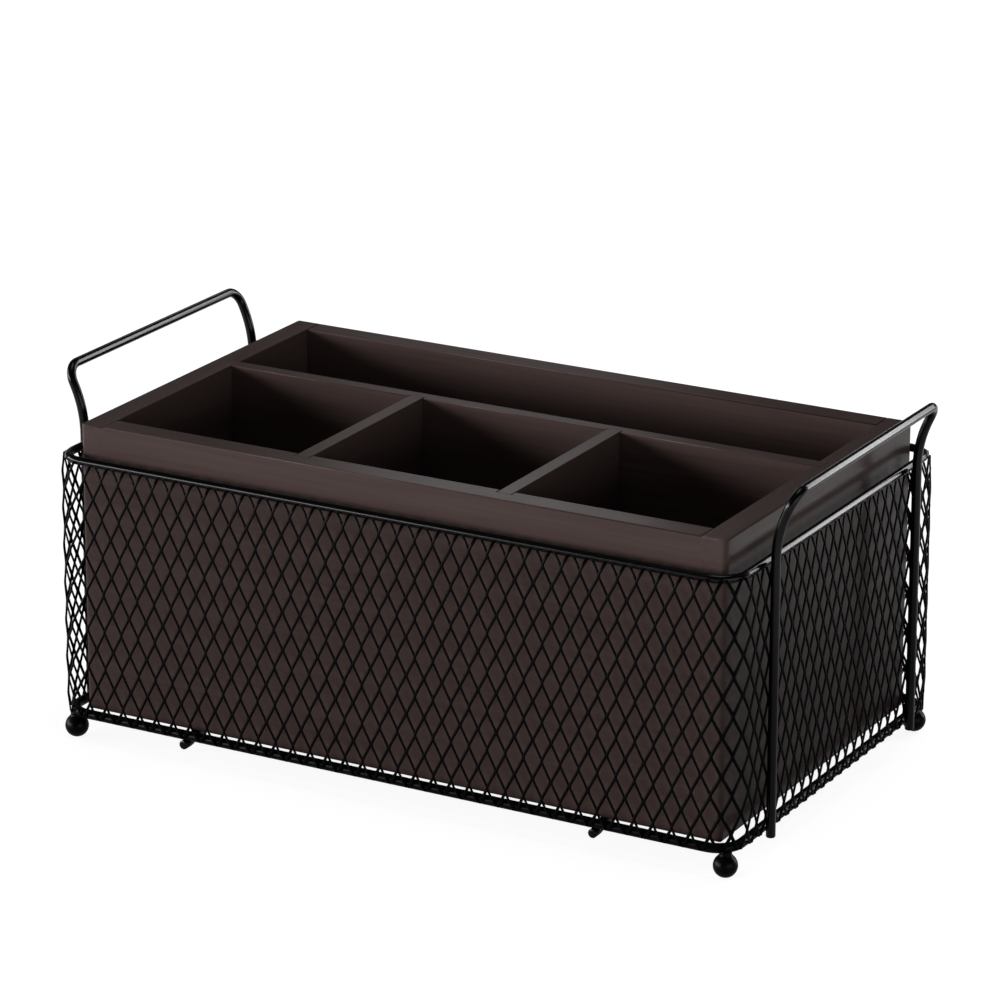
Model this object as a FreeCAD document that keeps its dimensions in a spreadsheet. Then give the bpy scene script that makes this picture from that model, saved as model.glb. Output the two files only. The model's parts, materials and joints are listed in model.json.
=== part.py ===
import FreeCAD, Part
import math
import os
import Sketcher

# Utensil caddy: a dark wooden box with three compartments in front and a long one behind,
# standing loose in a basket of black wire and expanded metal on four ball feet.
# Millimetres, +X along the box, +Y to the back, +Z up. The feet stand on Z = 0.

SIZES = [
    ("box_length", 340.0, "wooden box, outside, along X"),
    ("box_depth", 198.0, "wooden box, outside, along Y"),
    ("box_height", 143.45, "wooden box, outside"),
    ("board_thickness", 12.7, "outer walls of the box"),
    ("floor_thickness", 6.0, "floor board of the box"),
    ("divider_thickness", 8.0, "the three dividers"),
    ("divider_spacing", 106.8, "between the middles of the two short dividers"),
    ("divider_setback", 19.1, "middle of the long divider behind the middle of the box"),
    ("groove_depth", 4.4, "grooves in the walls that hold the dividers"),
    ("shallow_groove_depth", 2.5, "grooves in the long divider that hold the short ones"),
    ("groove_clearance", 0.1, "room between a divider and its groove"),
    ("corner_round", 2.5, "upright outer edges of the box"),
    ("top_chamfer", 0.8, "upper outer edges of the box"),
    ("basket_clearance", 5.65, "room between the box and the top rim"),
    ("basket_height", 127.7, "between the centre lines of the two rims"),
    ("rim_wire", 4.0, "diameter of the top rim's wire"),
    ("bottom_rim_wire", 4.7, "diameter of the bottom rim's wire"),
    ("rim_corner", 12.5, "corner radius of the top rim's centre line"),
    ("strand_width", 1.3, "strands of the mesh, across"),
    ("strand_thickness", 0.6, "strands of the mesh, through"),
    ("cell_width", 9.45, "diamonds of the mesh, across"),
    ("cell_height", 18.85, "diamonds of the mesh, up"),
    ("mesh_top_drop", 0.3, "upper edge of the mesh below the top rim's centre line"),
    ("mesh_foot_drop", 1.2, "lower edge of the mesh below the bottom rim's centre line"),
    ("node_drop", 7.5, "top row of the mesh's crossings below the top rim"),
    ("node_shift", 0.9, "crossings of the mesh to the left of the front's middle"),
    ("handle_wire", 4.5, "diameter of the handle wire"),
    ("handle_span", 152.0, "between the middles of a handle's legs"),
    ("handle_foot_drop", 2.95, "lower end of the legs below the bottom rim's centre line"),
    ("handle_bend_start", 2.0, "start of the outward bend above the top rim"),
    ("handle_bend_radius", 56.0, "outward bend of the legs"),
    ("handle_lean_run", 2.0, "straight run between the bend and the corner"),
    ("handle_corner", 8.0, "corner radius between legs and bar"),
    ("rod_wire", 4.5, "diameter of the floor rods"),
    ("rod_inset", 60.3, "floor rods in from the ends of the box"),
    ("rod_overhang", 2.0, "rod ends outside the bottom rim's centre line"),
    ("rod_lift", 2.4, "rise of the rods from their ends to the box"),
    ("ball_diameter", 11.5, "ball feet"),
    ("neck_height", 0.3, "rim above the top of the balls"),
    ("neck_diameter", 5.0, "weld neck between ball and rim"),
]
HANDLE_LEAN = math.radians(24.5)
ROD_SLOPE = math.radians(30.0)
ROD_ARC_SHARE = 0.9
CORNER_FACETS = 3
WIRE_FLATS = 12
ROD_FLATS = 8
VOLUME_ERROR_SHARE = 0.01
SAME_PLACE = 1e-6

doc = FreeCAD.newDocument("utensil_caddy")
sheet = doc.addObject("Spreadsheet::Sheet", "sizes")
for row, (name, value, note) in enumerate(SIZES, start=1):
    sheet.set("A%d" % row, name)
    sheet.set("B%d" % row, str(value))
    sheet.set("C%d" % row, note)
    sheet.setAlias("B%d" % row, name)
doc.recompute()
size = {name: float(sheet.get(name)) for name, value, note in SIZES}

# Lengths and places that several pieces share, as expressions on the sheet.
INNER_LENGTH = "(sizes.box_length - 2 * sizes.board_thickness)"
INNER_DEPTH = "(sizes.box_depth - 2 * sizes.board_thickness)"
GROOVE_WIDTH = "(sizes.divider_thickness + 2 * sizes.groove_clearance)"
DIVIDER_HEIGHT = "(sizes.box_height - sizes.floor_thickness)"
RIM_UNDERSIDE = "(sizes.ball_diameter + sizes.neck_height)"
BOX_BOTTOM = "(%s + sizes.rod_lift)" % RIM_UNDERSIDE
DIVIDER_BOTTOM = "(%s + sizes.floor_thickness)" % BOX_BOTTOM

# The basket's main places as numbers, for the paths and strands that are worked out below.
bottom_rim_z = size["ball_diameter"] + size["neck_height"] + size["bottom_rim_wire"] / 2
top_rim_z = bottom_rim_z + size["basket_height"]
rim_half_length = size["box_length"] / 2 + size["basket_clearance"] + size["rim_wire"] / 2
rim_half_depth = size["box_depth"] / 2 + size["basket_clearance"] + size["rim_wire"] / 2
corner_x = rim_half_length - size["rim_corner"]
corner_y = rim_half_depth - size["rim_corner"]
bottom_rim_inset = (size["bottom_rim_wire"] - size["rim_wire"]) / 2


def near(a, b):
    return abs(a - b) < SAME_PLACE


def place(thing, x, y, z):
    """Bind where a thing stands to the sheet."""
    for axis, expression in zip("xyz", (x, y, z)):
        thing.setExpression("Placement.Base.%s" % axis, expression)


# The wooden box

def centred_rectangle(body, name, width, depth):
    """Sketch on the body's own XY plane: a rectangle about its middle, its sides bound to the sheet."""
    sketch = body.newObject("Sketcher::SketchObject", name)
    plane = [feature for feature in body.Origin.OriginFeatures if feature.Role == "XY_Plane"][0]
    sketch.AttachmentSupport = [(plane, "")]
    sketch.MapMode = "FlatFace"
    half = size["board_thickness"] / 2
    corners = [FreeCAD.Vector(x * half, y * half, 0) for x, y in ((-1, -1), (1, -1), (1, 1), (-1, 1))]
    for start, end in zip(corners, corners[1:] + corners[:1]):
        sketch.addGeometry(Part.LineSegment(start, end), False)
    for side in range(4):
        sketch.addConstraint(Sketcher.Constraint("Coincident", side, 2, (side + 1) % 4, 1))
        sketch.addConstraint(Sketcher.Constraint(("Horizontal", "Vertical")[side % 2], side))
    sketch.addConstraint(Sketcher.Constraint("Symmetric", 0, 1, 2, 1, -1, 1))
    for side, kind, length in ((0, "DistanceX", width), (1, "DistanceY", depth)):
        index = sketch.addConstraint(Sketcher.Constraint(kind, side, 1, side, 2, size["board_thickness"]))
        sketch.setExpression("Constraints[%d]" % index, length)
    return sketch


def board(label, length, depth, height, x, y, z):
    """Upright board: its plan outline padded to its height."""
    body = doc.addObject("PartDesign::Body", label)
    outline = centred_rectangle(body, label + "_outline", length, depth)
    pad = body.newObject("PartDesign::Pad", label + "_board")
    pad.Profile = outline
    pad.setExpression("Length", height)
    place(body, x, y, z)
    doc.recompute()
    return body


def ease_edges(body, name, kind, amount, test):
    """Fillet or chamfer those edges of the body so far whose middle passes the test."""
    base = body.Tip
    names = ["Edge%d" % n for n, edge in enumerate(base.Shape.Edges, start=1) if test(edge.CenterOfMass)]
    ease = body.newObject("PartDesign::" + kind, name)
    ease.Base = (base, names)
    ease.setExpression({"Fillet": "Radius", "Chamfer": "Size"}[kind], amount)
    doc.recompute()


def groove(body, name, width, depth, x, y, foot):
    """Upright groove, open at the top of its board, from a foot height up."""
    before = body.Shape.Volume
    outline = centred_rectangle(body, name + "_outline", width, depth)
    for axis, expression in zip("xyz", (x, y, foot)):
        outline.setExpression("AttachmentOffset.Base.%s" % axis, expression)
    pocket = body.newObject("PartDesign::Pocket", name)
    pocket.Profile = outline
    pocket.Type = "ThroughAll"
    pocket.Reversed = True
    doc.recompute()
    if not body.Shape.Volume < before:
        raise RuntimeError("%s cuts nothing" % name)


def end_board(label, side):
    """End board of the box's full depth: outer edges eased, the long divider's groove inside."""
    body = board(label, "sizes.board_thickness", "sizes.box_depth", "sizes.box_height",
                 "%d * (sizes.box_length - sizes.board_thickness) / 2" % side, "0", BOX_BOTTOM)
    outer = side * size["board_thickness"] / 2
    ease_edges(body, label + "_upright_edges", "Fillet", "sizes.corner_round",
               lambda middle: near(middle.x, outer) and near(abs(middle.y), size["box_depth"] / 2))
    ease_edges(body, label + "_top_edges", "Chamfer", "sizes.top_chamfer",
               lambda middle: near(middle.z, size["box_height"]) and not near(middle.x, -outer))
    groove(body, label + "_groove", "sizes.groove_depth", GROOVE_WIDTH,
           "%d * (sizes.board_thickness - sizes.groove_depth) / 2" % -side,
           "sizes.divider_setback", "sizes.floor_thickness")
    return body


def long_board(label, side):
    """Front or back board between the end boards, its outer upper edge eased."""
    body = board(label, INNER_LENGTH, "sizes.board_thickness", "sizes.box_height",
                 "0", "%d * (sizes.box_depth - sizes.board_thickness) / 2" % side, BOX_BOTTOM)
    outer = side * size["board_thickness"] / 2
    ease_edges(body, label + "_top_edge", "Chamfer", "sizes.top_chamfer",
               lambda middle: near(middle.z, size["box_height"]) and near(middle.y, outer))
    return body


def wooden_box():
    """Four walls, a floor between them, and three dividers let into grooves, all flush at the top."""
    left, right = end_board("box_left", -1), end_board("box_right", 1)
    front, back = long_board("box_front", -1), long_board("box_back", 1)
    floor = board("box_floor", INNER_LENGTH, INNER_DEPTH, "sizes.floor_thickness", "0", "0", BOX_BOTTOM)
    divider_length = INNER_LENGTH + " + 2 * (sizes.groove_depth - sizes.groove_clearance)"
    long_divider = board("long_divider", divider_length, "sizes.divider_thickness", DIVIDER_HEIGHT,
                         "0", "sizes.divider_setback", DIVIDER_BOTTOM)
    front_end = "(sizes.groove_clearance - sizes.groove_depth - %s / 2)" % INNER_DEPTH
    back_end = ("(sizes.divider_setback - sizes.divider_thickness / 2"
                " + sizes.shallow_groove_depth - sizes.groove_clearance)")
    boards = [left, right, front, back, floor, long_divider]
    for label, side in (("left_divider", -1), ("right_divider", 1)):
        x = "%d * sizes.divider_spacing / 2" % side
        groove(front, label + "_front_groove", GROOVE_WIDTH, "sizes.groove_depth",
               x, "(sizes.board_thickness - sizes.groove_depth) / 2", "sizes.floor_thickness")
        groove(long_divider, label + "_back_groove", GROOVE_WIDTH, "sizes.shallow_groove_depth",
               x, "(sizes.shallow_groove_depth - sizes.divider_thickness) / 2", "0")
        boards.append(board(label, "sizes.divider_thickness", "%s - %s" % (back_end, front_end),
                            DIVIDER_HEIGHT, x, "(%s + %s) / 2" % (front_end, back_end), DIVIDER_BOTTOM))
    return boards


# The basket's wires

def rounded_path(points, radii):
    """Straight runs through the points, joined at each inner point by a tangent arc of its radius."""
    edges = []
    start = points[0]
    for before, corner, after, radius in zip(points, points[1:], points[2:], radii):
        arrive = (corner - before).normalize()
        leave = (after - corner).normalize()
        half_turn = arrive.getAngle(leave) / 2
        reach = radius * math.tan(half_turn)
        middle = corner + (leave - arrive).normalize() * radius * (1 / math.cos(half_turn) - 1)
        edges.append(Part.LineSegment(start, corner - arrive * reach).toShape())
        edges.append(Part.Arc(corner - arrive * reach, middle, corner + leave * reach).toShape())
        start = corner + leave * reach
    edges.append(Part.LineSegment(start, points[-1]).toShape())
    return Part.Wire(edges)


def bent_wire(label, diameter, flats, path):
    """Wire of a diameter named on the sheet, swept along its path.

    Its section has flats round the diameter, so that it seats face to face on what it is welded to.
    """
    route = doc.addObject("Part::Feature", label + "_path")
    route.Shape = path
    first = path.Edges[0]
    up = FreeCAD.Vector(0, 0, 1)
    section = doc.addObject("Part::RegularPolygon", label + "_section")
    section.Polygon = flats
    section.setExpression("Circumradius", "sizes.%s / 2 / cos(180 deg / %d)" % (diameter, flats))
    section.Placement = FreeCAD.Placement(
        first.valueAt(first.FirstParameter),
        FreeCAD.Rotation(up, first.tangentAt(first.FirstParameter)) * FreeCAD.Rotation(up, 180 / flats))
    sweep = doc.addObject("Part::Sweep", label)
    sweep.Sections = [section]
    sweep.Spine = (route, ["Edge%d" % n for n in range(1, len(path.Edges) + 1)])
    sweep.Solid = True
    doc.recompute()
    expected = flats * math.tan(math.pi / flats) * (size[diameter] / 2) ** 2 * path.Length
    if abs(sweep.Shape.Volume - expected) > VOLUME_ERROR_SHARE * expected:
        raise RuntimeError("%s has the wrong volume" % label)
    return sweep


def rim(label, diameter, inset, z):
    """Closed ring with rounded corners, round the box at a height, set in so that the outsides line up."""
    corners = [(1, 0), (1, 1), (-1, 1), (-1, -1), (1, -1), (1, 0)]
    half_length, half_depth = rim_half_length - inset, rim_half_depth - inset
    points = [FreeCAD.Vector(x * half_length, y * half_depth, z) for x, y in corners]
    return bent_wire(label, diameter, WIRE_FLATS, rounded_path(points, [size["rim_corner"] - inset] * 4))


def handle(label, side):
    """Two legs against the outside of the mesh, bent outward above the rim and joined by a bar."""
    leg_x = rim_half_length + size["rim_wire"] / 2 + 2 * size["strand_thickness"] + size["handle_wire"] / 2
    leg_y = size["handle_span"] / 2
    foot_z = bottom_rim_z - size["handle_foot_drop"]
    bend_reach = size["handle_bend_radius"] * math.tan(HANDLE_LEAN / 2)
    knee_z = top_rim_z + size["handle_bend_start"] + bend_reach
    slant = bend_reach + size["handle_lean_run"] + size["handle_corner"]
    bar_x = leg_x + slant * math.sin(HANDLE_LEAN)
    bar_z = knee_z + slant * math.cos(HANDLE_LEAN)
    front_leg = [(leg_x, foot_z), (leg_x, knee_z), (bar_x, bar_z)]
    points = [FreeCAD.Vector(side * x, -leg_y, z) for x, z in front_leg]
    points += [FreeCAD.Vector(side * x, leg_y, z) for x, z in reversed(front_leg)]
    bend, corner = size["handle_bend_radius"], size["handle_corner"]
    return bent_wire(label, "handle_wire", WIRE_FLATS, rounded_path(points, [bend, corner, corner, bend]))


def floor_rod(label, side):
    """Rod from front to back, welded under the bottom rim and stepped up inside it to carry the box."""
    rim_y = rim_half_depth - bottom_rim_inset
    end_z = bottom_rim_z - size["bottom_rim_wire"] / 2 - size["rod_wire"] / 2
    slant = size["rod_lift"] / math.sin(ROD_SLOPE)
    reach = ROD_ARC_SHARE * slant / 2
    step_y = rim_y - size["bottom_rim_wire"] / 2 - reach
    front_half = [(rim_y + size["rod_overhang"], end_z), (step_y, end_z),
                  (step_y - slant * math.cos(ROD_SLOPE), end_z + size["rod_lift"])]
    x = side * (size["box_length"] / 2 - size["rod_inset"])
    points = [FreeCAD.Vector(x, -y, z) for y, z in front_half]
    points += [FreeCAD.Vector(x, y, z) for y, z in reversed(front_half)]
    bend = reach / math.tan(ROD_SLOPE / 2)
    return bent_wire(label, "rod_wire", ROD_FLATS, rounded_path(points, [bend] * 4))


def ball_feet():
    """A ball and its weld neck under the middle of each corner of the bottom rim."""
    outside = "sizes.basket_clearance + sizes.rim_wire"
    corner = "(sizes.rim_corner + sizes.rim_wire / 2 - sizes.bottom_rim_wire / 2)"
    inset = "(sizes.bottom_rim_wire / 2 + %s * (1 - cos(45 deg)))" % corner
    feet = []
    for side_x, side_y in ((-1, -1), (1, -1), (1, 1), (-1, 1)):
        x = "%d * (sizes.box_length / 2 + %s - %s)" % (side_x, outside, inset)
        y = "%d * (sizes.box_depth / 2 + %s - %s)" % (side_y, outside, inset)
        ball = doc.addObject("Part::Sphere", "foot_ball")
        ball.setExpression("Radius", "sizes.ball_diameter / 2")
        neck = doc.addObject("Part::Cylinder", "foot_neck")
        neck.setExpression("Radius", "sizes.neck_diameter / 2")
        neck.setExpression("Height", "sizes.ball_diameter / 2 + sizes.neck_height")
        for piece in (ball, neck):
            place(piece, x, y, "sizes.ball_diameter / 2")
        foot = doc.addObject("Part::Fuse", "foot")
        foot.Base = ball
        foot.Tool = neck
        feet.append(foot)
    group = doc.addObject("Part::Compound", "ball_feet")
    group.Links = feet
    doc.recompute()
    return group


# The mesh band

class Band:
    """The band's course round the rims, as a length of run from the left end of the front.

    Each bend has its run, the centre of its corner, and the way out from there. The bends of a corner
    are spread so that every facet between them touches the rims.
    """

    def __init__(self):
        self.radius = size["rim_corner"] + size["rim_wire"] / 2
        self.sections = []
        self.bends = []
        run = 0
        facet = math.pi / 2 / CORNER_FACETS
        sides = [("front", "front_right", 1, -1), ("right", "back_right", 1, 1),
                 ("back", "back_left", -1, 1), ("left", "front_left", -1, -1)]
        self.add_bend(run, -1, -1, -math.pi / 2, 1)
        for turn, (side, corner, x, y) in enumerate(sides):
            out = math.pi / 2 * (turn - 1)
            length = 2 * (corner_y if turn % 2 else corner_x)
            self.sections.append(("mesh_" + side, run, run + length))
            run += length
            self.add_bend(run, x, y, out, 1)
            for n in range(CORNER_FACETS):
                turned = facet * (n + 0.5)
                bend_run = run + turned * self.middle_radius()
                self.add_bend(bend_run, x, y, out + turned, 1 / math.cos(facet / 2))
            length = self.middle_radius() * math.pi / 2
            self.sections.append(("mesh_corner_" + corner, run, run + length))
            run += length
            self.add_bend(run, x, y, out + math.pi / 2, 1)
        self.length = run

    def middle_radius(self):
        return self.radius + size["strand_thickness"]

    def add_bend(self, run, x, y, angle, stretch):
        centre = FreeCAD.Vector(x * corner_x, y * corner_y, 0)
        out = FreeCAD.Vector(math.cos(angle), math.sin(angle), 0) * stretch
        self.bends.append((run, centre, out))

    def point(self, run, radius):
        """Plan point at a run along the band and a radius about the corners."""
        for (run_a, centre_a, out_a), (run_b, centre_b, out_b) in zip(self.bends, self.bends[1:]):
            if run <= run_b:
                break
        start = centre_a + out_a * radius
        end = centre_b + out_b * radius
        return start + (end - start) * ((run - run_a) / (run_b - run_a))

    def runs_between(self, first, last):
        """The two runs and every bend between them."""
        inner = [run for run, centre, out in self.bends if first + SAME_PLACE < run < last - SAME_PLACE]
        return [first] + inner + [last]


def flat_face(points):
    return Part.Face(Part.makePolygon(points + points[:1]))


def bar_through(rings):
    """Bar with a four-cornered section at each ring: a prism if straight, else closed by triangles."""
    if len(rings) == 2:
        return flat_face(rings[0]).extrude(rings[1][0] - rings[0][0])
    faces = [flat_face(rings[0]), flat_face(rings[-1])]
    for ring, following in zip(rings, rings[1:]):
        for a, b, c, d in zip(ring, ring[1:] + ring[:1], following[1:] + following[:1], following):
            faces += [flat_face([a, b, c]), flat_face([a, c, d])]
    solid = Part.Solid(Part.Shell(faces))
    if solid.Volume < 0:
        solid.reverse()
    return solid


def strands(band, first, last, lean, radius):
    """Strands of one direction between two runs of the band: parallel slanting bars, one per diamond."""
    columns = round(band.length / size["cell_width"])
    pitch = band.length / columns
    slope = size["cell_height"] / pitch
    half_rise = size["strand_width"] * math.hypot(1, slope) / 2
    low = bottom_rim_z - size["mesh_foot_drop"] + half_rise
    high = top_rim_z - size["mesh_top_drop"] - half_rise
    node_run = corner_x - size["node_shift"]
    node_z = top_rim_z - size["node_drop"]
    bars = []
    for column in range(-columns, 2 * columns):
        crossing = node_run + column * pitch
        ends = sorted(crossing + lean * (z - node_z) / slope for z in (low, high))
        start, end = max(first, ends[0]), min(last, ends[1])
        if end - start < size["strand_width"]:
            continue
        rings = []
        for run in band.runs_between(start, end):
            z = node_z + lean * slope * (run - crossing)
            inner = band.point(run, radius)
            outer = band.point(run, radius + size["strand_thickness"])
            lower = FreeCAD.Vector(0, 0, z - half_rise)
            upper = FreeCAD.Vector(0, 0, z + half_rise)
            rings.append([inner + lower, inner + upper, outer + upper, outer + lower])
        bars.append(bar_through(rings))
    return bars


def mesh_band():
    """Expanded metal round the rims: two layers of strands that lean either way and meet at each crossing."""
    band = Band()
    pieces = []
    for label, first, last in band.sections:
        bars = strands(band, first, last, 1, band.radius)
        bars += strands(band, first, last, -1, band.middle_radius())
        piece = doc.addObject("Part::Feature", label)
        piece.Shape = Part.makeCompound(bars)
        pieces.append(piece)
    return pieces


pieces = wooden_box()
pieces.append(rim("top_rim_wire", "rim_wire", 0, top_rim_z))
pieces.append(rim("bottom_rim_wire", "bottom_rim_wire", bottom_rim_inset, bottom_rim_z))
pieces += [handle("handle_left", -1), handle("handle_right", 1)]
pieces += [floor_rod("floor_rod_left", -1), floor_rod("floor_rod_right", 1), ball_feet()]
pieces += mesh_band()
doc.recompute()

failed = [thing.Label for thing in doc.Objects if "Invalid" in thing.State or "Error" in thing.State]
failed += [piece.Label for piece in pieces if piece.Shape.isNull() or not piece.Shape.isValid()]
if failed:
    raise RuntimeError("not built: " + ", ".join(failed))

os.makedirs("parts", exist_ok=True)
for piece in pieces:
    piece.Shape.exportStep("parts/%s.step" % piece.Label)
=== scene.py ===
"""Utensil caddy: a dark wooden box with compartments that stands loose in a black wire and mesh basket.

Metres, +Z up, front towards -Y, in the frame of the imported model.
"""
import json
import math

import bpy
import numpy as np
from mathutils import Matrix, Quaternion, Vector

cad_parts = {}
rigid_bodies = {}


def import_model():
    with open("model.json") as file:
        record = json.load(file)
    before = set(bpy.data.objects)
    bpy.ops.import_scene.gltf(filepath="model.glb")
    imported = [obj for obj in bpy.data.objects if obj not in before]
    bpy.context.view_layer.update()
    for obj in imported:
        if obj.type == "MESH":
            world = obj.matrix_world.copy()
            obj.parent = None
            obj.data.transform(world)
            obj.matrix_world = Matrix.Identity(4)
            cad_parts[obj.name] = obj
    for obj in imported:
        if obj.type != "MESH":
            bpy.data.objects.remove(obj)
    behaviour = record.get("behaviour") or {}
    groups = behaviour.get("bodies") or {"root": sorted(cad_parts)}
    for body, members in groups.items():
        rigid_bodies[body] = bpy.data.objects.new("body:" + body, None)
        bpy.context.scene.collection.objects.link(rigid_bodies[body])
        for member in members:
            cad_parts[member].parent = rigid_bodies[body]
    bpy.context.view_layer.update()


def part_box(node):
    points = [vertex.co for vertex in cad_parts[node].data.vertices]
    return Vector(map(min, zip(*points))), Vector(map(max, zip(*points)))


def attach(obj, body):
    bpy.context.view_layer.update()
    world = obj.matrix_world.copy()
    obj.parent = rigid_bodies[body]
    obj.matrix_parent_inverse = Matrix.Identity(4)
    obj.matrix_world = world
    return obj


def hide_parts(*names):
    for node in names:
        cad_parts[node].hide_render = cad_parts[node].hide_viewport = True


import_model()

MM = 0.001

# Sizes that the frame doesn't give

BAND_RADIUS = 14.5 * MM
RIGHT_FLARE = 0.7 * MM
WALL_BOW = 0.4 * MM
END_WALL_EXTRA_BOW = 0.3 * MM
BOW_REACH = 7 * MM
CORNER_SWELL = 0.2 * MM
MESH_COLUMNS = 120
MESH_ROW = 18.85 * MM
HALF_ROWS_BELOW = 16
HALF_ROWS_ABOVE = 4
MESH_NODE_DROP = 7.25 * MM
MESH_NODE_SHIFT = -1.05 * MM
MESH_PAIR_SPREAD = -0.3 * MM
STRAND_WIDTH = 1.68 * MM
STRAND_THICKNESS = 0.9 * MM
STRAND_TILT = math.radians(10)
STRAND_SIDES = 6
STRAND_END_MARGIN = 0.4 * MM
BOND_LAP_SHARE = 0.1
DEPTH_SWING_SHARE = 0.3
HANDLE_WIRE = 4.5 * MM
HANDLE_BEND_START = 2.0 * MM
HANDLE_BEND_RADIUS = 56 * MM
HANDLE_LEAN = math.radians(24.5)
HANDLE_CORNER = 8 * MM
HANDLE_DOME = 0.9 * MM
ROD_SLOPE = math.radians(30)
ROD_ARC_SHARE = 0.9
ROD_DOME = 0.35 * MM
WIRE_SIDES = 20
ARC_STEPS = 13
DOME_ANGLES = np.radians([10, 35, 62, 90])
BALL_SIDES = 32
BALL_LATITUDES = np.radians([-88, *range(-80, 41, 10), 47])
GROOVE_CLEARANCE = 0.1 * MM
UPRIGHT_ROUNDING = 2.5 * MM
TOP_ROUNDING = 1.0 * MM
INNER_ROUNDING = 0.6 * MM
GROOVE_ROUNDING = 0.12 * MM
# Swing of a strand from one bond to the next, as a share of its reach, at shares of half a row
SWING_STEP_SHARES = np.array([0, 0.04, 0.1, 0.9, 0.96, 1])
SWING_SHARES = np.array([-1, -0.98, -0.89, 0.89, 0.98, 1])
# Radius of the weld neck above a ball, and its height over the foot of the ball
NECK_PROFILE = np.array([(3.5, 10.4), (3.15, 10.85), (2.95, 11.3),
                         (2.9, 11.7), (3.0, 12.2), (2.7, 13.0)]) * MM


def node_box(node):
    """Lowest and highest corner of a node as arrays."""
    low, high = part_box(node)
    return np.array(low), np.array(high)


# Meshes

def grid_faces(rows, columns, copies=1, ring=False):
    """Quads of copies of a grid whose columns close round; its ends are capped, or joined for a ring."""
    index = np.arange(rows * columns).reshape(rows, columns)
    after = np.roll(index, -1, axis=0) if ring else index[1:]
    before = index if ring else index[:-1]
    beside_before = np.roll(before, -1, axis=1)
    beside_after = np.roll(after, -1, axis=1)
    quads = np.stack([before, beside_before, beside_after, after], axis=-1).reshape(-1, 4)
    start = np.arange(copies)[:, None, None] * rows * columns
    faces = (quads[None] + start).reshape(-1, 4).tolist()
    if not ring:
        caps = np.stack([index[0, ::-1], index[-1]])
        faces += (caps[None] + start).reshape(-1, columns).tolist()
    return faces


def make_piece(name, points, faces, material, body, slot, *nodes):
    """Put points and faces into a smooth mesh object that rides on a body and stands for CAD nodes."""
    mesh = bpy.data.meshes.new(name)
    mesh.from_pydata(np.asarray(points).reshape(-1, 3), [], faces)
    mesh.shade_smooth()
    mesh.materials.append(material)
    piece = bpy.data.objects.new(name, mesh)
    bpy.context.scene.collection.objects.link(piece)
    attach(piece, body)
    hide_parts(*nodes)
    return piece


def bent_course(corners, radii, closed=False):
    """Straight runs through the corners, each corner rounded by an arc of its radius.

    With incoming direction d, turn a and inward direction n, the arc starts r tan(a / 2) before the corner,
    and its point at angle t is start + r sin(t) d + r (1 - cos(t)) n.
    """
    corners = np.array(corners, float)
    if closed:
        before, at, after = np.roll(corners, 1, axis=0), corners, np.roll(corners, -1, axis=0)
    else:
        before, at, after = corners[:-2], corners[1:-1], corners[2:]
    incoming = at - before
    incoming /= np.linalg.norm(incoming, axis=1, keepdims=True)
    outgoing = after - at
    outgoing /= np.linalg.norm(outgoing, axis=1, keepdims=True)
    turn = np.arccos(np.clip((incoming * outgoing).sum(axis=1), -1, 1))[:, None]
    inward = (outgoing - incoming * np.cos(turn)) / np.sin(turn)
    radius = np.array(radii, float)[:, None]
    start = at - incoming * radius * np.tan(turn / 2)
    angle = turn[:, :, None] * np.linspace(0, 1, ARC_STEPS)[None, :, None]
    from_start = np.sin(angle) * incoming[:, None] + (1 - np.cos(angle)) * inward[:, None]
    course = (start[:, None] + radius[:, None] * from_start).reshape(-1, 3)
    if not closed:
        course = np.concatenate([corners[:1], course, corners[-1:]])
    return course


def round_wire(course, radius, facing, closed=False, dome=0.0):
    """Circle carried along a course: course + r (cos(u) side + sin(u) up), u all the way round.

    side = along x facing, up = side x along; facing is a direction that the course never takes. At an open
    end the wire is domed: at angle p from the tip it has radius r sin(p), dome (1 - cos(p)) behind the tip.
    """
    radii = np.full(len(course), radius)
    if not closed:
        behind = dome * (1 - np.cos(DOME_ANGLES))[:, None]
        narrowed = radius * np.sin(DOME_ANGLES)
        first = (course[1] - course[0]) / np.linalg.norm(course[1] - course[0])
        last = (course[-1] - course[-2]) / np.linalg.norm(course[-1] - course[-2])
        first_dome = course[0] + behind * first
        last_dome = course[-1] - behind[::-1] * last
        radii = np.concatenate([narrowed, radii[1:-1], narrowed[::-1]])
        course = np.concatenate([first_dome, course[1:-1], last_dome])
    if closed:
        along = np.roll(course, -1, axis=0) - np.roll(course, 1, axis=0)
    else:
        along = np.gradient(course, axis=0)
    along /= np.linalg.norm(along, axis=1, keepdims=True)
    side = np.cross(along, facing)
    side /= np.linalg.norm(side, axis=1, keepdims=True)
    up = np.cross(side, along)
    u = np.arange(WIRE_SIDES) * 2 * math.pi / WIRE_SIDES
    circle = np.cos(u)[None, :, None] * side[:, None] + np.sin(u)[None, :, None] * up[:, None]
    points = course[:, None] + radii[:, None, None] * circle
    return points, grid_faces(len(course), WIRE_SIDES, ring=closed)


# Materials

ORANGE_PEEL = 1.1 * MM
COAT_PATCH = 14 * MM
ROUGHNESS_SPREAD = 0.03
STREAK_LENGTH = 70 * MM
STREAK_WIDTH = 2.4 * MM
STAIN_CLOUD = 45 * MM


def srgb(code):
    """Linear colour of an sRGB hex code."""
    value = np.array([int(code[i:i + 2], 16) for i in (1, 3, 5)]) / 255
    linear = np.where(value <= 0.04045, value / 12.92, ((value + 0.055) / 1.055) ** 2.4)
    return (*linear.tolist(), 1.0)


def add_node(tree, kind, links=None, values=None, **settings):
    """Add a node with its settings, its input values and the outputs that its inputs are linked to."""
    node = tree.nodes.new(kind)
    for name, value in settings.items():
        setattr(node, name, value)
    for name, value in (values or {}).items():
        node.inputs[name].default_value = value
    for name, output in (links or {}).items():
        tree.links.new(output, node.inputs[name])
    return node


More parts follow.
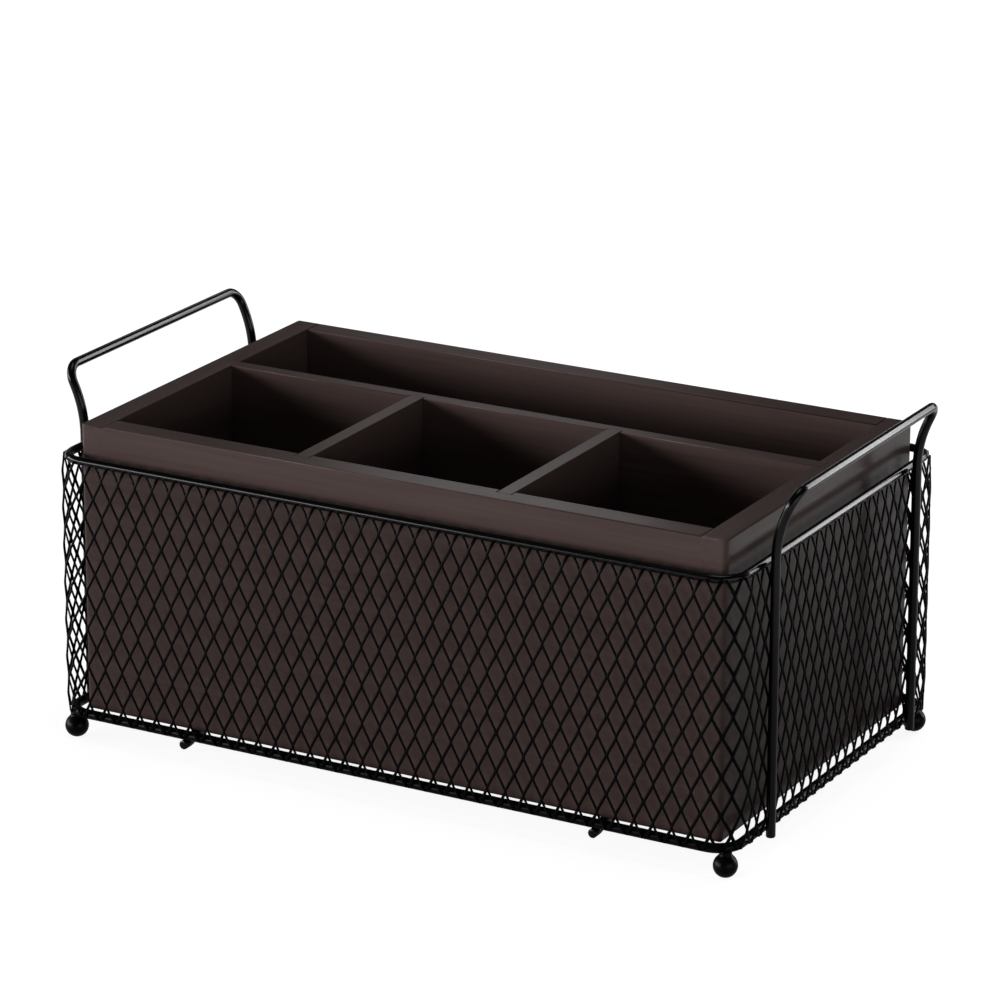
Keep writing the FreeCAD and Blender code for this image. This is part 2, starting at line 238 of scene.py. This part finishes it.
def new_material(name):
    """Material with no nodes yet, and its node tree."""
    material = bpy.data.materials.new(name)
    material.use_nodes = True
    material.node_tree.nodes.clear()
    return material, material.node_tree


def powder_coat(name, roughness, shine):
    """Black polyester powder coat on steel: even, with a faint orange-peel skin, and a gloss of its own."""
    material, tree = new_material(name)
    place = add_node(tree, "ShaderNodeTexCoord").outputs["Object"]
    peel = add_node(tree, "ShaderNodeTexNoise", {"Vector": place},
                    {"Scale": 1 / ORANGE_PEEL, "Detail": 2.0, "Roughness": 0.5})
    patches = add_node(tree, "ShaderNodeTexNoise", {"Vector": place},
                       {"Scale": 1 / COAT_PATCH, "Detail": 3.0, "Roughness": 0.6})
    tone = add_node(tree, "ShaderNodeMix", {0: patches.outputs["Fac"]},
                    {6: srgb("#020202"), 7: srgb("#040404")}, data_type="RGBA")
    gloss = add_node(tree, "ShaderNodeMapRange", {"Value": peel.outputs["Fac"]},
                     {"From Min": 0.3, "From Max": 0.7,
                      "To Min": roughness - ROUGHNESS_SPREAD, "To Max": roughness + ROUGHNESS_SPREAD})
    bump = add_node(tree, "ShaderNodeBump", {"Height": peel.outputs["Fac"]},
                    {"Strength": 0.25, "Distance": 0.02 * MM})
    shader = add_node(tree, "ShaderNodeBsdfPrincipled",
                      {"Base Color": tone.outputs[2], "Roughness": gloss.outputs["Result"],
                       "Normal": bump.outputs["Normal"]},
                      {"IOR": 1.5, "Specular IOR Level": shine})
    add_node(tree, "ShaderNodeOutputMaterial", {"Surface": shader.outputs["BSDF"]})
    return material


def lacquered_wood(name, grain):
    """Beech stained dark brown under satin lacquer: soft streaks along the grain, almost closed pores.

    grain is the size of a streak along X, Y and Z.
    """
    material, tree = new_material(name)
    place = add_node(tree, "ShaderNodeTexCoord").outputs["Object"]
    streak_scale = Vector([1 / size for size in grain])
    streak_place = add_node(tree, "ShaderNodeMapping", {"Vector": place}, {"Scale": streak_scale})
    streaks = add_node(tree, "ShaderNodeTexNoise", {"Vector": streak_place.outputs["Vector"]},
                       {"Scale": 1.0, "Detail": 2.0, "Roughness": 0.5, "Distortion": 0.3})
    clouds = add_node(tree, "ShaderNodeTexNoise", {"Vector": place},
                      {"Scale": 1 / STAIN_CLOUD, "Detail": 2.0, "Roughness": 0.5})
    stain = add_node(tree, "ShaderNodeValToRGB", {"Fac": streaks.outputs["Fac"]})
    stain.color_ramp.elements[0].position = 0.3
    stain.color_ramp.elements[0].color = srgb("#443735")
    stain.color_ramp.elements[1].position = 0.72
    stain.color_ramp.elements[1].color = srgb("#50423f")
    tone = add_node(tree, "ShaderNodeMix", {0: clouds.outputs["Fac"], 6: stain.outputs["Color"]},
                    {7: srgb("#4a3c3a")}, data_type="RGBA")
    gloss = add_node(tree, "ShaderNodeMapRange", {"Value": clouds.outputs["Fac"]},
                     {"From Min": 0.3, "From Max": 0.7, "To Min": 0.18, "To Max": 0.23})
    bump = add_node(tree, "ShaderNodeBump", {"Height": streaks.outputs["Fac"]},
                    {"Strength": 0.015, "Distance": 0.05 * MM})
    shader = add_node(tree, "ShaderNodeBsdfPrincipled",
                      {"Base Color": tone.outputs[2], "Roughness": gloss.outputs["Result"],
                       "Normal": bump.outputs["Normal"]},
                      {"IOR": 1.5, "Specular IOR Level": 0.095})
    add_node(tree, "ShaderNodeOutputMaterial", {"Surface": shader.outputs["BSDF"]})
    return material


wire_coat = powder_coat("semi_gloss_black_powder_coat", roughness=0.2, shine=0.15)
foot_coat = powder_coat("soft_satin_black_powder_coat", roughness=0.33, shine=0.06)
mesh_coat = powder_coat("satin_black_powder_coat", roughness=0.35, shine=0.03)
wood_along_x = lacquered_wood("stained_beech_long_boards", (STREAK_LENGTH, STREAK_WIDTH, STREAK_WIDTH))
wood_along_y = lacquered_wood("stained_beech_cross_boards", (STREAK_WIDTH, STREAK_LENGTH, STREAK_WIDTH))


# Rims, handles, floor rods and feet of the basket

top_low, top_high = node_box("top_rim_wire")
TOP_RIM_Z = (top_low[2] + top_high[2]) / 2
bottom_low, bottom_high = node_box("bottom_rim_wire")
BOTTOM_RIM_Z = (bottom_low[2] + bottom_high[2]) / 2
BOTTOM_RIM_RADIUS = (bottom_high[2] - bottom_low[2]) / 2


def rim(node, coat, flare=0.0):
    """Closed ring of round wire of its node's size, with rounded corners; flare moves its right end."""
    low, high = node_box(node)
    radius = (high[2] - low[2]) / 2
    x, y = high[0] - radius, high[1] - radius
    z = low[2] + radius
    corners = [(-x, -y, z), (x + flare, -y, z), (x + flare, y, z), (-x, y, z)]
    course = bent_course(corners, [BAND_RADIUS - radius] * 4, closed=True)
    points, faces = round_wire(course, radius, (0, 0, 1), closed=True)
    make_piece(node + "_round", points, faces, coat, "basket", "black_steel", node)


def handle(node, side, flare=0.0):
    """Two legs against the mesh, bent outward above the rim and joined by a bar along Y.

    flare moves the feet of the legs out.
    """
    low, high = node_box(node)
    leg_x = min(abs(low[0]), abs(high[0])) + HANDLE_WIRE / 2
    leg_y = high[1] - HANDLE_WIRE / 2
    bend_reach = HANDLE_BEND_RADIUS * math.tan(HANDLE_LEAN / 2)
    knee_z = TOP_RIM_Z + HANDLE_BEND_START + bend_reach
    bar_z = high[2] - HANDLE_WIRE / 2
    bar_x = leg_x + (bar_z - knee_z) * math.tan(HANDLE_LEAN)
    front_leg = [(side * (leg_x + flare), -leg_y, low[2]),
                 (side * leg_x, -leg_y, knee_z),
                 (side * bar_x, -leg_y, bar_z)]
    corners = front_leg + [(x, -y, z) for x, y, z in reversed(front_leg)]
    radii = [HANDLE_BEND_RADIUS, HANDLE_CORNER, HANDLE_CORNER, HANDLE_BEND_RADIUS]
    facing = (side * math.cos(HANDLE_LEAN), 0, -math.sin(HANDLE_LEAN))
    points, faces = round_wire(bent_course(corners, radii), HANDLE_WIRE / 2, facing, dome=HANDLE_DOME)
    make_piece(node + "_round", points, faces, wire_coat, "basket", "black_steel", node)


def floor_rod(node):
    """Rod from front to back under the bottom rim, stepped up inside it to carry the box."""
    low, high = node_box(node)
    radius = (high[0] - low[0]) / 2
    x = (low[0] + high[0]) / 2
    end_z = low[2] + radius
    middle_z = high[2] - radius
    slant = (middle_z - end_z) / math.sin(ROD_SLOPE)
    reach = ROD_ARC_SHARE * slant / 2
    step_y = bottom_high[1] - 2 * BOTTOM_RIM_RADIUS - reach
    front = [(x, low[1], end_z), (x, -step_y, end_z), (x, -step_y + slant * math.cos(ROD_SLOPE), middle_z)]
    corners = front + [(x, -y, z) for x, y, z in reversed(front)]
    course = bent_course(corners, [reach / math.tan(ROD_SLOPE / 2)] * 4)
    points, faces = round_wire(course, radius, (1, 0, 0), dome=ROD_DOME)
    make_piece(node + "_round", points, faces, wire_coat, "basket", "black_steel", node)


def ball_feet(node):
    """Profile turned about four upright axes: a ball whose top draws in to a weld neck under the rim."""
    low, high = node_box(node)
    inset = BOTTOM_RIM_RADIUS + (BAND_RADIUS - BOTTOM_RIM_RADIUS) * (1 - math.sqrt(0.5))
    x, y = bottom_high[0] - inset, bottom_high[1] - inset
    radius = high[0] - x
    ball = radius * np.stack([np.cos(BALL_LATITUDES), 1 + np.sin(BALL_LATITUDES)], axis=1)
    profile = np.concatenate([ball, NECK_PROFILE])
    turn = np.arange(BALL_SIDES) * 2 * math.pi / BALL_SIDES
    foot = np.stack([profile[:, :1] * np.cos(turn), profile[:, :1] * np.sin(turn),
                     np.broadcast_to(profile[:, 1:], (len(profile), BALL_SIDES))], axis=-1)
    right_x = x + RIGHT_FLARE
    places = np.array([(-x, -y, low[2]), (right_x, -y, low[2]), (right_x, y, low[2]), (-x, y, low[2])])
    points = foot[None] + places[:, None, None]
    faces = grid_faces(len(profile), BALL_SIDES, copies=4)
    make_piece(node + "_turned", points, faces, foot_coat, "basket", "black_steel", node)


rim("top_rim_wire", wire_coat)
rim("bottom_rim_wire", foot_coat, RIGHT_FLARE)
handle("handle_left", -1)
handle("handle_right", 1, RIGHT_FLARE)
for rod_node in ("floor_rod_left", "floor_rod_right"):
    floor_rod(rod_node)
ball_feet("ball_feet")


# Expanded mesh of the basket

MESH_DEPTH = node_box("mesh_front")[1][1] - node_box("mesh_front")[0][1]
CORNER_X = top_high[0] - BAND_RADIUS
CORNER_Y = top_high[1] - BAND_RADIUS
BEND_RUN = math.pi / 2 * (BAND_RADIUS + MESH_DEPTH / 2)
SECTIONS = ("mesh_front", "mesh_corner_front_right", "mesh_right", "mesh_corner_back_right",
            "mesh_back", "mesh_corner_back_left", "mesh_left", "mesh_corner_front_left")
# Ends of the strands on long wall, corner, end wall and corner, from the centre lines of the rims
SECTION_FEET = np.array([-1.0, -0.7, -0.7, -0.7] * 2) * MM
SECTION_TOPS = np.array([-0.9, 0.3, -0.5, 0.3] * 2) * MM
SECTION_ENDS = np.concatenate([[0], np.cumsum([2 * CORNER_X, BEND_RUN, 2 * CORNER_Y, BEND_RUN] * 2)])


def band_point(run, out, z):
    """Point of the band at a length of run from the left end of the front, out from the rims, at a height.

    The centre of bending moves along the straight walls and stays at the corners, while the outward
    direction stays on the walls and turns at the corners: centre + (band radius + out + bow) outward.
    At distance d from the nearer rim the bow is its full size times 1 - exp(-(d / bow reach) squared), and
    the corners swell a little. Towards the foot the right end leans out by the flare.
    """
    run = run % SECTION_ENDS[-1]
    angle = np.interp(run, SECTION_ENDS, np.radians([-90, -90, 0, 0, 90, 90, 180, 180, 270]))
    centre_x = np.interp(run, SECTION_ENDS, CORNER_X * np.array([-1, 1, 1, 1, 1, -1, -1, -1, -1]))
    centre_y = np.interp(run, SECTION_ENDS, CORNER_Y * np.array([-1, -1, -1, 1, 1, 1, 1, -1, -1]))
    from_rim = np.minimum(np.abs(z - TOP_RIM_Z), np.abs(z - BOTTOM_RIM_Z))
    full_bow = WALL_BOW + END_WALL_EXTRA_BOW * np.cos(angle) ** 2
    bow = full_bow * (1 - np.exp(-(from_rim / BOW_REACH) ** 2))
    radius = BAND_RADIUS + out + bow + CORNER_SWELL * np.sin(2 * angle) ** 2
    down = np.clip((TOP_RIM_Z - z) / (TOP_RIM_Z - BOTTOM_RIM_Z), 0, 1)
    to_right = (1 + centre_x / CORNER_X) / 2
    x = centre_x + radius * np.cos(angle) + RIGHT_FLARE * down * to_right
    return np.stack([x, centre_y + radius * np.sin(angle), np.broadcast_to(z, run.shape)], axis=-1)


def mesh_strands():
    """Upright zigzag strands of a slit and stretched sheet, bonded to the left and to the right in turn.

    A strand swings from +1 to -1 over half a row: upright at the bonds, straight between them. Its centre
    moves by swing along the run and against it in depth, so each bond is a tilted plate. The section is an
    ellipse in the run-depth plane, turned by the tilt and widened where the strand slants.
    """
    pitch = SECTION_ENDS[-1] / MESH_COLUMNS
    node_z = TOP_RIM_Z - MESH_NODE_DROP
    halves = np.arange(-HALF_ROWS_BELOW, HALF_ROWS_ABOVE)[:, None] + SWING_STEP_SHARES[:-1]
    levels = node_z + halves.ravel() * MESH_ROW / 2
    reach = pitch / 4 - BOND_LAP_SHARE * STRAND_WIDTH
    u = np.arange(STRAND_SIDES) * 2 * math.pi / STRAND_SIDES
    thick = STRAND_THICKNESS / 2 * np.sin(u)
    depth_swing = DEPTH_SWING_SHARE * STRAND_WIDTH * math.sin(STRAND_TILT)
    strand = np.arange(2 * MESH_COLUMNS)
    pair_middle = CORNER_X + MESH_NODE_SHIFT + (strand // 2) * pitch
    from_middle = (strand % 2 - 0.5) * (pitch / 2 + MESH_PAIR_SPREAD)
    centre = (pair_middle + from_middle) % SECTION_ENDS[-1]
    side = np.where(strand % 2 == 0, 1, -1)
    for index, node in enumerate(SECTIONS):
        foot = BOTTOM_RIM_Z + SECTION_FEET[index]
        top = TOP_RIM_Z + SECTION_TOPS[index]
        inside = levels[(levels > foot + STRAND_END_MARGIN) & (levels < top - STRAND_END_MARGIN)]
        heights = np.concatenate([[foot], inside, [top]])
        phase = np.abs((heights - node_z) / MESH_ROW % 1 - 0.5) * 2
        swing = np.interp(phase, SWING_STEP_SHARES, SWING_SHARES)
        lean = np.gradient(swing * reach, heights)
        wide = STRAND_WIDTH / 2 * np.sqrt(1 + lean ** 2)[:, None] * np.cos(u)
        across = wide * math.cos(STRAND_TILT) - thick * math.sin(STRAND_TILT)
        outward = wide * math.sin(STRAND_TILT) + thick * math.cos(STRAND_TILT)
        chosen = (centre >= SECTION_ENDS[index]) & (centre < SECTION_ENDS[index + 1])
        swung = side[chosen][:, None] * swing
        run = (centre[chosen][:, None] + swung * reach)[:, :, None] + across
        out = MESH_DEPTH / 2 - (swung * depth_swing)[:, :, None] + outward
        points = band_point(run, out, heights[None, :, None])
        faces = grid_faces(len(heights), STRAND_SIDES, copies=chosen.sum())
        make_piece(node + "_strands", points, faces, mesh_coat, "basket", "black_steel", node)


mesh_strands()


# Boards of the box

def board(node, material, blocks):
    """Outlines carried straight up, with their edges rounded by a weighted bevel.

    A block is (outline, lowest z, highest z, rounding of each corner, of each foot edge, of each top edge);
    edge i goes from corner i to the next.
    """
    points, faces, pairs, rounding = [], [], [], []
    for outline, low, high, upright, foot, top in blocks:
        count = len(outline)
        start = sum(len(part) for part in points)
        points += [np.insert(outline, 2, z, axis=1) for z in (low, high)]
        index = start + np.arange(count)
        following = np.roll(index, -1)
        faces += [index[::-1].tolist(), (index + count).tolist()]
        faces += np.stack([index, following, following + count, index + count], axis=1).tolist()
        pairs += [np.stack([index, following], 1), np.stack([index, following], 1) + count,
                  np.stack([index, index + count], 1)]
        rounding += [foot, top, upright]
    corners = np.concatenate(points)
    piece = make_piece(node + "_eased", corners, faces, material, "insert_box", "dark_wood", node)
    mesh = piece.data
    total = len(mesh.vertices)
    ends = np.empty(2 * len(mesh.edges), np.int32)
    mesh.edges.foreach_get("vertices", ends)
    ends = np.sort(ends.reshape(-1, 2), axis=1)
    wanted = np.sort(np.concatenate(pairs), axis=1)
    keys = wanted[:, 0] * total + wanted[:, 1]
    order = np.argsort(keys)
    found = order[np.searchsorted(keys[order], ends[:, 0] * total + ends[:, 1])]
    weights = np.concatenate(rounding)[found] / UPRIGHT_ROUNDING
    mesh.attributes.new("bevel_weight_edge", "FLOAT", "EDGE").data.foreach_set("value", weights)
    mesh.attributes.new("sharp_edge", "BOOLEAN", "EDGE").data.foreach_set("value", weights == 0)
    bevel = piece.modifiers.new("eased_edges", "BEVEL")
    bevel.limit_method = "WEIGHT"
    bevel.width = UPRIGHT_ROUNDING
    bevel.segments = 4
    bevel.harden_normals = True


def rectangle(low, high):
    """Corners of a rectangle in plan, counter-clockwise from its front left."""
    return np.array([(low[0], low[1]), (high[0], low[1]), (high[0], high[1]), (low[0], high[1])])


def notch(first_x, last_x, mouth_y, bed_y):
    """Corners of a groove in plan: in along its first side, over its bed and out along its last side."""
    return np.array([(first_x, mouth_y), (first_x, bed_y), (last_x, bed_y), (last_x, mouth_y)])


floor_low, floor_high = node_box("box_floor")
long_low, long_high = node_box("long_divider")
short_boxes = [node_box("right_divider"), node_box("left_divider")]

# End boards, with a groove for the long divider from the floor up
for end_node, end_side in (("box_left", -1), ("box_right", 1)):
    low, high = node_box(end_node)
    inner = min(abs(low[0]), abs(high[0]))
    outer = max(abs(low[0]), abs(high[0]))
    groove = long_high[0] + GROOVE_CLEARANCE
    plain = np.array([(inner, low[1]), (outer, low[1]), (outer, high[1]), (inner, high[1])])
    back = long_high[1] + GROOVE_CLEARANCE
    front = long_low[1] - GROOVE_CLEARANCE
    grooved = np.concatenate([plain, [(inner, back), (groove, back), (groove, front), (inner, front)]])
    plain_upright = np.array([0, 1, 1, 0]) * UPRIGHT_ROUNDING
    plain_foot = np.array([1, 1, 1, 0]) * INNER_ROUNDING
    grooved_upright = np.concatenate([plain_upright, np.zeros(4)])
    grooved_top = np.concatenate([np.full(3, TOP_ROUNDING), [INNER_ROUNDING], np.full(3, GROOVE_ROUNDING),
                                  [INNER_ROUNDING]])
    if end_side < 0:
        # The mirrored outline turns the other way, so its corners are reversed and its edges shift by one
        plain = (plain * (-1, 1))[::-1]
        grooved = (grooved * (-1, 1))[::-1]
        plain_upright = plain_upright[::-1]
        plain_foot = np.roll(plain_foot[::-1], -1)
        grooved_upright = grooved_upright[::-1]
        grooved_top = np.roll(grooved_top[::-1], -1)
    board(end_node, wood_along_y, [
        (plain, low[2], floor_high[2], plain_upright, plain_foot, np.zeros(4)),
        (grooved, floor_high[2], high[2], grooved_upright, np.zeros(8), grooved_top)])

# Front board, with a groove for each short divider from the floor up
low, high = node_box("box_front")
plain = rectangle(low, high)
notches = [notch(short_high[0] + GROOVE_CLEARANCE, short_low[0] - GROOVE_CLEARANCE,
                 high[1], short_low[1] - GROOVE_CLEARANCE)
           for short_low, short_high in short_boxes]
grooved = np.concatenate([plain[:3], *notches, plain[3:]])
grooved_top = np.concatenate([[TOP_ROUNDING, INNER_ROUNDING, INNER_ROUNDING],
                              ([GROOVE_ROUNDING] * 3 + [INNER_ROUNDING]) * 2, [INNER_ROUNDING]])
board("box_front", wood_along_x, [
    (plain, low[2], floor_high[2], np.zeros(4), np.array([1, 0, 0, 0]) * INNER_ROUNDING, np.zeros(4)),
    (grooved, floor_high[2], high[2], np.zeros(12), np.zeros(12), grooved_top)])

# Back board, floor and short dividers
low, high = node_box("box_back")
board("box_back", wood_along_x, [
    (rectangle(low, high), low[2], high[2], np.zeros(4), np.array([0, 0, 1, 0]) * INNER_ROUNDING,
     np.array([INNER_ROUNDING, INNER_ROUNDING, TOP_ROUNDING, INNER_ROUNDING]))])
board("box_floor", wood_along_x, [
    (rectangle(floor_low, floor_high), floor_low[2], floor_high[2], np.zeros(4), np.full(4, INNER_ROUNDING),
     np.full(4, INNER_ROUNDING))])
for short_node in ("left_divider", "right_divider"):
    low, high = node_box(short_node)
    board(short_node, wood_along_y, [
        (rectangle(low, high), low[2], high[2], np.zeros(4), np.zeros(4),
         np.array([GROOVE_ROUNDING, INNER_ROUNDING, GROOVE_ROUNDING, INNER_ROUNDING]))])

# Long divider, with a shallow groove in its front for each short divider
plain = rectangle(long_low, long_high)
notches = [notch(short_low[0] - GROOVE_CLEARANCE, short_high[0] + GROOVE_CLEARANCE,
                 long_low[1], short_high[1] + GROOVE_CLEARANCE)
           for short_low, short_high in short_boxes[::-1]]
grooved = np.concatenate([plain[:1], *notches, plain[1:]])
grooved_top = np.concatenate([[INNER_ROUNDING], ([GROOVE_ROUNDING] * 3 + [INNER_ROUNDING]) * 2,
                              [GROOVE_ROUNDING, INNER_ROUNDING, GROOVE_ROUNDING]])
board("long_divider", wood_along_x, [
    (grooved, long_low[2], long_high[2], np.zeros(12), np.zeros(12), grooved_top)])


# Floor, light and camera

FLOOR_HALF = 8.0
FLOOR_MOTTLE = 300 * MM
FLOOR_GLOW = 0.9
# In reflections the floor's glow carries a painted shadow near the object: it grows from the dim shade glow
# to the full one between two distances from the origin
SHADE_GLOW = 0.3
SHADE_NEAR = 0.22
SHADE_FAR = 0.55
# Strips behind the basket, on an arch across Y
ARCH_X = 0.19
ARCH_Y = 1.55
ARCH_Z = 0.16
ARCH_RADIUS = 0.92
ARCH_ANGLES = (5, 35, 65)
STRIP_SIZE = (0.3, 0.5)
STRIP_RADIANCE = 16.0


def floor():
    """Pale floor that shows white to the camera and in reflections, and keeps the object's shadow.

    In reflections the white fades close round the object by distance from the origin: a painted shadow that
    stands in for the real floor lying in the object's shadow.
    """
    material, tree = new_material("pale_floor")
    place = add_node(tree, "ShaderNodeTexCoord").outputs["Object"]
    mottle = add_node(tree, "ShaderNodeTexNoise", {"Vector": place},
                      {"Scale": 1 / FLOOR_MOTTLE, "Detail": 2.0})
    tone = add_node(tree, "ShaderNodeMix", {0: mottle.outputs["Fac"]},
                    {6: srgb("#828282"), 7: srgb("#878787")}, data_type="RGBA")
    matt = add_node(tree, "ShaderNodeBsdfDiffuse", {"Color": tone.outputs[2]})
    path = add_node(tree, "ShaderNodeLightPath")
    seen = add_node(tree, "ShaderNodeMath", {0: path.outputs["Is Camera Ray"]}, {1: FLOOR_GLOW},
                    operation="MULTIPLY")
    # Painted shadow: the glow seen in reflections is dimmed by distance from the origin round the object
    away = add_node(tree, "ShaderNodeVectorMath", {0: place}, operation="LENGTH")
    painted_shadow_fade = add_node(tree, "ShaderNodeMapRange", {"Value": away.outputs["Value"]},
                    {"From Min": SHADE_NEAR, "From Max": SHADE_FAR,
                     "To Min": SHADE_GLOW, "To Max": FLOOR_GLOW},
                    interpolation_type="SMOOTHSTEP")
    indirect = add_node(tree, "ShaderNodeMath",
                        {0: path.outputs["Is Glossy Ray"], 1: path.outputs["Is Transmission Ray"]},
                        operation="MAXIMUM")
    mirrored = add_node(tree, "ShaderNodeMath", {0: indirect.outputs[0], 1: painted_shadow_fade.outputs["Result"]},
                        operation="MULTIPLY")
    lift = add_node(tree, "ShaderNodeMath", {0: seen.outputs[0], 1: mirrored.outputs[0]},
                    operation="MAXIMUM")
    glow = add_node(tree, "ShaderNodeEmission", {"Strength": lift.outputs[0]}, {"Color": srgb("#ffffff")})
    both = add_node(tree, "ShaderNodeAddShader", {0: matt.outputs["BSDF"], 1: glow.outputs["Emission"]})
    add_node(tree, "ShaderNodeOutputMaterial", {"Surface": both.outputs["Shader"]})
    corners = FLOOR_HALF * np.array([(-1, -1, 0), (1, -1, 0), (1, 1, 0), (-1, 1, 0)])
    mesh = bpy.data.meshes.new("floor")
    mesh.from_pydata(corners, [], [(0, 1, 2, 3)])
    mesh.materials.append(material)
    plane = bpy.data.objects.new("floor", mesh)
    bpy.context.scene.collection.objects.link(plane)


def softbox(name, at, towards, size, radiance, roll=0.0, lights=None):
    """Rectangular lamp of an even radiance that faces a point, turned by roll, and isn't seen itself.

    lights is the collection of the objects that it lights, where it doesn't light all.
    """
    lamp = bpy.data.lights.new(name, "AREA")
    lamp.shape = "RECTANGLE"
    lamp.size, lamp.size_y = size
    lamp.energy = radiance * math.pi * size[0] * size[1]
    holder = bpy.data.objects.new(name, lamp)
    holder.location = at
    facing = (Vector(towards) - Vector(at)).to_track_quat("-Z", "Y")
    holder.rotation_euler = (facing @ Quaternion((0, 0, 1), roll)).to_euler()
    holder.visible_camera = False
    holder.light_linking.receiver_collection = lights
    bpy.context.scene.collection.objects.link(holder)


def studio():
    """Soft boxes far left in front, to the right and overhead, and strips that the wires reflect."""
    world = bpy.data.worlds.new("studio")
    bpy.context.scene.world = world
    world.use_nodes = True
    tree = world.node_tree
    tree.nodes.clear()
    grey = add_node(tree, "ShaderNodeBackground", None, {"Color": srgb("#ffffff"), "Strength": 0.06})
    add_node(tree, "ShaderNodeOutputWorld", {"Surface": grey.outputs["Background"]})
    # The hard strips stay off the lacquered boards, whose tops would mirror them as white from some sides
    lit_by_strips = bpy.data.collections.new("lit_by_strips")
    for piece in bpy.context.scene.collection.objects:
        if piece.type == "MESH" and not piece.name.endswith("_eased"):
            lit_by_strips.objects.link(piece)
    # Each lamp's name, place, aim, width and height, and radiance
    middle = (0, 0, 0.12)
    softbox("front_box", (-4.2, -3.4, 0.75), middle, (5.0, 1.3), 18.4)
    softbox("right_box", (2.0, -0.9, 0.35), middle, (2.2, 0.65), 2.7)
    softbox("sky_panel", (0, 0, 2.0), middle, (0.9, 0.9), 3.4)
    softbox("top_panel", (-0.86, 1.55, 1.0), middle, (0.28, 0.44), 1.4)
    softbox("left_strip", (-2.2, -0.3, 0.45), middle, (0.3, 0.7), 15.0, lights=lit_by_strips)
    softbox("low_panel", (-1.5, 1.55, 0.3), middle, (0.5, 0.5), 0.5)
    for number, angle in enumerate(ARCH_ANGLES):
        turn = math.radians(angle)
        at = (ARCH_X + ARCH_RADIUS * math.cos(turn), ARCH_Y, ARCH_Z + ARCH_RADIUS * math.sin(turn))
        softbox("back_strip_%d" % number, at, middle, STRIP_SIZE, STRIP_RADIANCE, -turn, lit_by_strips)


CAMERA_LENS = 168.953
CAMERA_EYE = Vector((1.0211, -1.8495, 0.83465))
CAMERA_AZIMUTH = math.radians(-28.863)
CAMERA_ELEVATION = math.radians(18.716)
CAMERA_ROLL = math.radians(0.263)


def camera():
    """Camera at the photograph's eye point: looks along the azimuth from +Y, down by the elevation."""
    forward = Vector((math.sin(CAMERA_AZIMUTH) * math.cos(CAMERA_ELEVATION),
                      math.cos(CAMERA_AZIMUTH) * math.cos(CAMERA_ELEVATION), -math.sin(CAMERA_ELEVATION)))
    level = forward.cross(Vector((0, 0, 1))).normalized()
    over = level.cross(forward)
    right = math.cos(CAMERA_ROLL) * level + math.sin(CAMERA_ROLL) * over
    up = math.cos(CAMERA_ROLL) * over - math.sin(CAMERA_ROLL) * level
    data = bpy.data.cameras.new("camera")
    data.lens = CAMERA_LENS
    data.sensor_width = 36
    holder = bpy.data.objects.new("camera", data)
    turned = Matrix((right, up, -forward)).transposed().to_4x4()
    holder.matrix_world = Matrix.Translation(CAMERA_EYE) @ turned
    bpy.context.scene.collection.objects.link(holder)
    bpy.context.scene.camera = holder


floor()
studio()
camera()
bpy.context.scene.view_settings.view_transform = "Standard"
